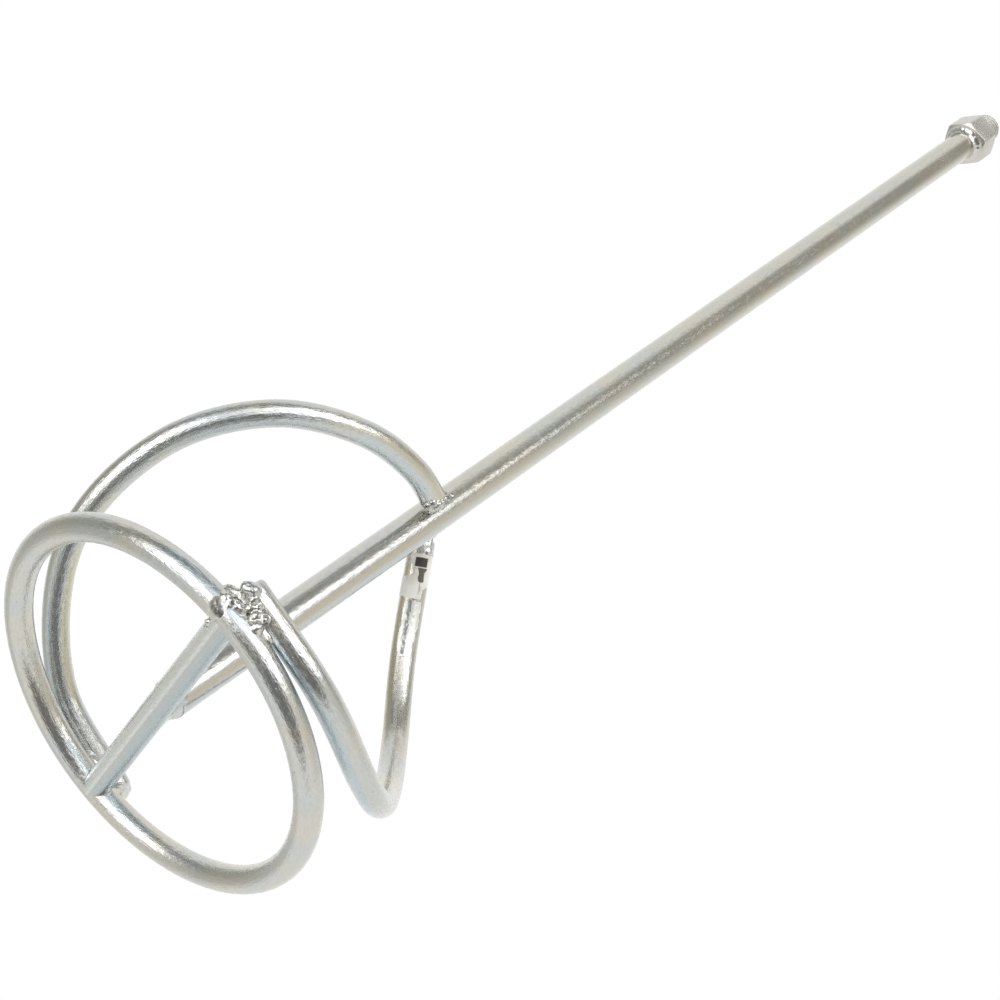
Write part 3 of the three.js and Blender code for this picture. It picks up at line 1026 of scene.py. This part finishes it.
def build_nut_fillet(sides=160):
    """Ring of weld metal between the shaft and the nut's lower face, laid in short runs."""
    out_on_nut, down_shaft, sunk = 3.0, 3.2, 0.1
    turn = np.linspace(0, 2 * math.pi, sides, endpoint=False)
    runs = 0.16 * np.sin(turn * 17 + 0.8 * np.sin(turn * 3)) + 0.1 * np.sin(turn * 5 + 1)
    rows = []
    for bend in np.linspace(0, math.pi / 2, 9):
        radius = SHAFT_RADIUS - sunk + (out_on_nut + runs) * (1 - math.cos(bend))
        height = NUT_BOTTOM + sunk - (down_shaft + runs) * (1 - math.sin(bend))
        rows.append(np.stack([radius * np.cos(turn), radius * np.sin(turn), height], -1))
    points = np.array(rows).reshape(-1, 3)
    faces = grid_faces(len(rows), sides)
    add_piece("weld_metal_nut", points, faces, WELD_ZINC, ["weld_nut_shaft"])


build_nut_fillet()

weld_piece(
    "weld_metal_ring_seam",
    polar(SEAM_ANGLE, RING_RADIUS, RING_HEIGHT),
    (6.5, 3.0, 6.0),
    lambda p: [to_ring(p, BAR_RADIUS - 0.9)],
    [],
    ["weld_ring_seam"],
    fillet=1.0,
    shade_spots=near_shade_spots,
)

# ---- label ----


def label_sheet(name, arm, start, end, left, right, material, stands_for, seed):
    """A torn, creased sheet stuck round a stretch of an arm, from start to end in shares of
    the arm's length. left and right are the sheet's two torn edges: distances from the
    sheet's upper end, and degrees there round the bar from the line that faces the camera."""
    ragged_edge, ragged_end = 7, 0.5  # how far the tears stray: degrees, millimetres
    standoff = 0.14  # of the sheet's middle from the bar
    thickness = 0.08
    length = lengths_along(arm)[-1]
    rows, columns = 130, 90
    depth = np.linspace(0, (end - start) * length, rows)
    across = np.linspace(0, 1, columns)

    def ragged(x, y, pitch):
        """Noise between about -1 and 1 at every pairing of x and y."""
        at = [[Vector((i, j, seed * 7.3)) / pitch for j in y] for i in x]
        return np.array([[noise.fractal(q, 0.8, 2.0, 4) for q in row] for row in at])

    tear = ragged(depth, (0, 40), 2.2)
    first = np.interp(depth, *zip(*left)) + ragged_edge * tear[:, 0]
    last = np.interp(depth, *zip(*right)) + ragged_edge * tear[:, 1]
    angle = first[:, None] + (last - first)[:, None] * across
    ends = ragged((0, 30), across * 12, 2.5)
    nearness = np.abs(2 * depth / depth[-1] - 1)[:, None] ** 8
    upper = (depth < depth[-1] / 2)[:, None]
    shift = ragged_end * nearness * np.where(upper, ends[0], ends[1])
    distance = end * length - depth[:, None] + shift
    crease = ragged(depth, across * 12, 3.0)
    curl = np.clip(np.abs(2 * across - 1) - 0.9, 0, 1) * 10
    raised = 0.07 * np.abs(crease) + 0.2 * curl * np.abs(tear[:, :1])
    radius = BAR_RADIUS + standoff + raised

    places, ahead = lengths_along(arm), directions(arm)
    centres = at_distance(arm, distance.ravel()).reshape(rows, columns, 3)
    t = np.stack([np.interp(distance, places, a) for a in ahead.T], -1)
    front = np.array(CAMERA_AT / MM) - centres
    front -= t * (front * t).sum(-1)[..., None]
    front /= np.linalg.norm(front, axis=-1)[..., None]
    side = np.cross(t, front)
    turn = np.radians(angle)[..., None]
    points = centres + radius[..., None] * (front * np.cos(turn) + side * np.sin(turn))
    faces = [
        (i * columns + j, i * columns + j + 1, (i + 1) * columns + j + 1, (i + 1) * columns + j)
        for i in range(rows - 1)
        for j in range(columns - 1)
    ]
    flat = [depth[:, None] + 0 * angle, np.radians(angle) * BAR_RADIUS, 0 * angle]
    flat = np.stack(flat, axis=-1).reshape(-1, 3)
    sheet = add_piece(name, points.reshape(-1, 3), faces, material, stands_for, flat)
    thick = sheet.modifiers.new("thickness", "SOLIDIFY")
    thick.thickness = thickness * MM
    thick.offset = 0


label_sheet(
    "label_upper",
    ARM_B,
    0.9145,
    0.9785,
    [(0, -38), (4, -30), (5.4, -5), (8, -18), (10.5, -100), (17, -110)],
    [(0, 125), (10, 110), (12.5, 60), (13.5, 38), (17, 36)],
    PAPER,
    ["label_wrap"],
    3,
)
label_sheet(
    "label_lower",
    ARM_B,
    0.825,
    0.911,
    [(0, -30), (16, -34), (22, -30)],
    [(0, 42), (9, 46), (16, 34), (22, 20)],
    FILM,
    ["label_strip"],
    5,
)

# ---- floor, light, world, camera ----


def camera_direction(right, up):
    """Unit vector this many degrees right of and above the direction back to the camera."""
    off = math.radians(math.hypot(right, up))
    share = math.sin(off) / max(math.hypot(right, up), 1e-6)
    x, y, z = CAMERA_TURN.col
    return (x * right + y * up) * share + z * math.cos(off)


# The studio as the paddle sees it, in degrees right of and above the camera: centre,
# half sizes, turn, softness of the edge as a share, colour and brightness. Later patches
# cover earlier ones.
STUDIO = [
    ((0, 180), (32, 32), 0, 0.6, (1.00, 1.00, 0.98)),  # bright, opposite the camera
    ((88, -8), (26, 34), 0, 0.5, (0.70, 0.68, 0.62)),  # greys at the sides and overhead
    ((-95, 8), (32, 44), 0, 0.5, (0.52, 0.51, 0.47)),
    ((-84, 52), (26, 34), 35, 0.5, (0.40, 0.40, 0.36)),
    ((-8, 77), (62, 17), 0, 0.5, (0.27, 0.28, 0.27)),
    ((84, 44), (18, 36), -40, 0.5, (0.38, 0.37, 0.33)),
    ((0, 0), (56, 56), 0, 0.25, (0.60, 0.60, 0.58)),  # round the camera
    ((0, -26), (44, 29), 0, 0.25, (0.195, 0.192, 0.18)),  # dark, below it
    ((14, 32), (16, 16), 0, 0.5, (1.3, 1.3, 1.3)),  # lamps above it
    ((-32, 20), (26, 25), 0, 0.2, (2.2, 2.2, 2.2)),
    ((48, 25), (30, 20), 25, 0.2, (2.2, 2.2, 2.2)),
]
STUDIO_BASE = (0.86, 0.86, 0.83)


def build_world():
    """The studio as the paddle sees it; the camera sees plain white."""
    world = bpy.data.worlds.new("studio")
    bpy.context.scene.world = world
    t = Tree(world)
    ray = t.add("TexCoord")
    colour = (*STUDIO_BASE, 1)
    for centre, half, turn, soft, shade in STUDIO:
        middle = camera_direction(*centre)
        side = (CAMERA_TURN.col[0] - middle * CAMERA_TURN.col[0].dot(middle)).normalized()
        over = middle.cross(side)
        c, s = math.cos(math.radians(turn)), math.sin(math.radians(turn))
        side, over = side * c + over * s, over * c - side * s
        ahead = t.dot(ray, middle)
        off = []
        for axis, size in zip((side, over), half):
            angle = t.math("ARCTAN2", t.dot(ray, axis), ahead)
            off.append(t.math("MULTIPLY", angle, 1 / math.radians(size)))
        distance = t.math("SQRT", t.math("ADD", *(t.math("POWER", o, 2.0) for o in off)))
        share = t.remap(distance, 1 + soft, 1 - soft, curve="SMOOTHSTEP")
        colour = t.mix(share, colour, (*shade, 1))
    lit = t.add("Background", (colour, 1.0))
    seen = t.add("Background", (grey(1.0), 1.0))
    is_camera = t.add("LightPath", out=0)
    t.add("OutputWorld", (t.add("MixShader", (is_camera, lit, seen)),))


def build_floor():
    """Pale floor under the ring, open to a camera that looks up from beneath it."""
    half = 2.5
    mesh = bpy.data.meshes.new("floor")
    corners = [(-half, -half, 0), (half, -half, 0), (half, half, 0), (-half, half, 0)]
    mesh.from_pydata(corners, [], [(0, 1, 2, 3)])
    floor = bpy.data.objects.new("floor", mesh)
    bpy.context.scene.collection.objects.link(floor)
    material = bpy.data.materials.new("floor")
    t = Tree(material)
    away = t.add("VectorMath", (t.add("TexCoord", out=3),), out=1, operation="LENGTH")
    pale = t.add("BsdfDiffuse", (grey(0.86),))
    white = t.add("Emission", (grey(1.0), 1.0))
    top = t.add("MixShader", (t.remap(away, 0.5, 2.2, curve="SMOOTHSTEP"), pale, white))
    behind = t.add("NewGeometry", out=6)
    through = t.add("BsdfTransparent")
    t.add("OutputMaterial", (t.add("MixShader", (behind, top, through)),))
    mesh.materials.append(material)
    for kind in ("glossy", "diffuse", "shadow", "transmission"):
        setattr(floor, f"visible_{kind}", False)


def build_lamp():
    """A soft lamp over the paddle, for views from above."""
    lamp = bpy.data.lights.new("overhead", "AREA")
    lamp.shape = "DISK"
    lamp.size = 0.9
    lamp.energy = 8
    holder = bpy.data.objects.new("overhead", lamp)
    bpy.context.scene.collection.objects.link(holder)
    holder.location = (0.3, -0.3, 1.5)
    holder.rotation_euler = holder.location.to_track_quat("Z", "Y").to_euler()
    holder.visible_glossy = False
    holder.visible_camera = False


def build_camera():
    lens = bpy.data.cameras.new("camera")
    lens.lens = CAMERA_LENS
    lens.sensor_width = SENSOR_WIDTH
    lens.clip_start, lens.clip_end = 0.01, 20
    camera = bpy.data.objects.new("camera", lens)
    bpy.context.scene.collection.objects.link(camera)
    camera.matrix_world = Matrix.Translation(CAMERA_AT) @ CAMERA_TURN.to_4x4()
    bpy.context.scene.camera = camera


build_world()
build_floor()
build_lamp()
build_camera()
bpy.context.scene.view_settings.view_transform = "Standard"
